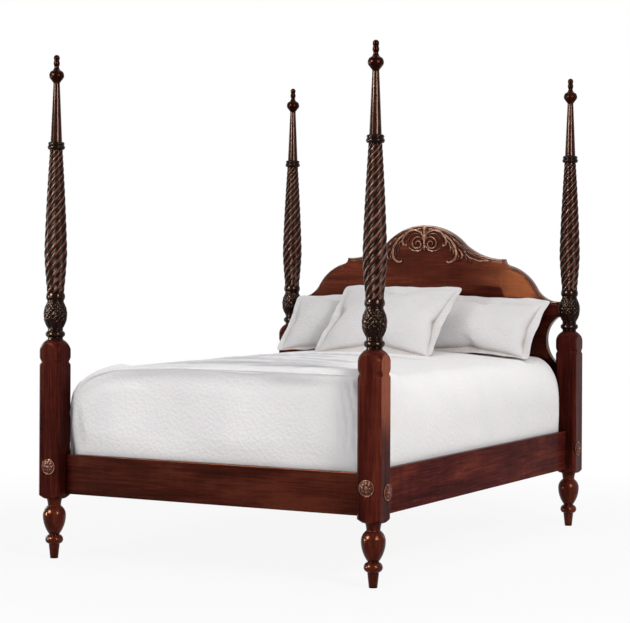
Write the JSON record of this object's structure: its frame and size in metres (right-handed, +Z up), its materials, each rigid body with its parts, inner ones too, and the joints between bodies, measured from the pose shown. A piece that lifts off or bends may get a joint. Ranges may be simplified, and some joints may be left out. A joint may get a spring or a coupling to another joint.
{
  "type": "four-poster bed",
  "caption": "Poster bed with rope-twist turned posts, lift-off finials, bolted rails under swinging rosette covers, an arched carved headboard, mattress, coverlet and loose pillows.",
  "frame": {"origin": "on the floor under the centre of the bed", "axes": "+Z up, +Y from the foot towards the headboard, +X to the right seen from the foot"},
  "size_m": [1.7084, 2.2834, 2.225],
  "materials": {
    "mahogany": "satin lacquer",
    "carved_mahogany": "rubbed satin",
    "pine": "planed",
    "steel": "plain",
    "ticking": "woven cotton",
    "white_coverlet": "quilted cotton",
    "white_cotton": "quilted cotton"
  },
  "bodies": {
    "frame": {"foot_front_left": "mahogany", "post_block_front_left": "mahogany", "post_shaft_front_left": "mahogany", "foot_front_right": "mahogany", "post_block_front_right": "mahogany", "post_shaft_front_right": "mahogany", "foot_back_left": "mahogany", "post_block_back_left": "mahogany", "post_shaft_back_left": "mahogany", "foot_back_right": "mahogany", "post_block_back_right": "mahogany", "post_shaft_back_right": "mahogany", "side_rail_left": "mahogany", "side_rail_right": "mahogany", "foot_rail": "mahogany", "head_rail": "mahogany", "headboard": "mahogany", "crest_carving": "carved_mahogany", "ledger_left": "pine", "ledger_right": "pine", "headboard_dowels": "pine", "slat_1": "pine", "slat_2": "pine", "slat_3": "pine", "slat_4": "pine", "slat_5": "pine", "finial_pins": "steel", "bed_bolts": "steel", "barrel_nuts": "steel", "cover_pins": "steel", "ledger_screws": "steel", "box_spring": "ticking", "mattress": "ticking", "coverlet": "white_coverlet"},
    "rosette_front_left_end": {"rosette_front_left_end": "carved_mahogany"},
    "rosette_front_left_side": {"rosette_front_left_side": "carved_mahogany"},
    "finial_front_left": {"finial_front_left": "mahogany"},
    "rosette_front_right_end": {"rosette_front_right_end": "carved_mahogany"},
    "rosette_front_right_side": {"rosette_front_right_side": "carved_mahogany"},
    "finial_front_right": {"finial_front_right": "mahogany"},
    "rosette_back_left_end": {"rosette_back_left_end": "carved_mahogany"},
    "rosette_back_left_side": {"rosette_back_left_side": "carved_mahogany"},
    "finial_back_left": {"finial_back_left": "mahogany"},
    "rosette_back_right_end": {"rosette_back_right_end": "carved_mahogany"},
    "rosette_back_right_side": {"rosette_back_right_side": "carved_mahogany"},
    "finial_back_right": {"finial_back_right": "mahogany"},
    "pillow_left": {"pillow_left": "white_cotton"},
    "pillow_right": {"pillow_right": "white_cotton"},
    "pillow_front": {"pillow_front": "white_cotton"}
  },
  "joints": [
    {"name": "rosette_front_left_end_swing", "type": "hinge", "parent": "frame", "child": "rosette_front_left_end", "pos_m": [-0.785, -1.1317, 0.4295], "axis": [0, -1, 0], "continuous": true},
    {"name": "rosette_front_left_side_swing", "type": "hinge", "parent": "frame", "child": "rosette_front_left_side", "pos_m": [-0.8442, -1.0595, 0.4095], "axis": [-1, 0, 0], "continuous": true},
    {"name": "finial_front_left_lift", "type": "slide", "parent": "frame", "child": "finial_front_left", "axis": [0, 0, 1], "range_m": [0, 0.06]},
    {"name": "rosette_front_right_end_swing", "type": "hinge", "parent": "frame", "child": "rosette_front_right_end", "pos_m": [0.785, -1.1317, 0.4295], "axis": [0, -1, 0], "continuous": true},
    {"name": "rosette_front_right_side_swing", "type": "hinge", "parent": "frame", "child": "rosette_front_right_side", "pos_m": [0.8442, -1.0595, 0.4095], "axis": [1, 0, 0], "continuous": true},
    {"name": "finial_front_right_lift", "type": "slide", "parent": "frame", "child": "finial_front_right", "axis": [0, 0, 1], "range_m": [0, 0.06]},
    {"name": "rosette_back_left_end_swing", "type": "hinge", "parent": "frame", "child": "rosette_back_left_end", "pos_m": [-0.785, 1.1317, 0.4295], "axis": [0, 1, 0], "continuous": true},
    {"name": "rosette_back_left_side_swing", "type": "hinge", "parent": "frame", "child": "rosette_back_left_side", "pos_m": [-0.8442, 1.0595, 0.4095], "axis": [-1, 0, 0], "continuous": true},
    {"name": "finial_back_left_lift", "type": "slide", "parent": "frame", "child": "finial_back_left", "axis": [0, 0, 1], "range_m": [0, 0.06]},
    {"name": "rosette_back_right_end_swing", "type": "hinge", "parent": "frame", "child": "rosette_back_right_end", "pos_m": [0.785, 1.1317, 0.4295], "axis": [0, 1, 0], "continuous": true},
    {"name": "rosette_back_right_side_swing", "type": "hinge", "parent": "frame", "child": "rosette_back_right_side", "pos_m": [0.8442, 1.0595, 0.4095], "axis": [1, 0, 0], "continuous": true},
    {"name": "finial_back_right_lift", "type": "slide", "parent": "frame", "child": "finial_back_right", "axis": [0, 0, 1], "range_m": [0, 0.06]},
    {"name": "pillow_left_pull", "type": "slide", "parent": "frame", "child": "pillow_left", "axis": [-1, 0, 0], "range_m": [0, 0.25]},
    {"name": "pillow_right_pull", "type": "slide", "parent": "frame", "child": "pillow_right", "axis": [1, 0, 0], "range_m": [0, 0.25]},
    {"name": "pillow_front_pull", "type": "slide", "parent": "frame", "child": "pillow_front", "axis": [0, -0.682, 0.7314], "range_m": [0, 0.25]}
  ]
}
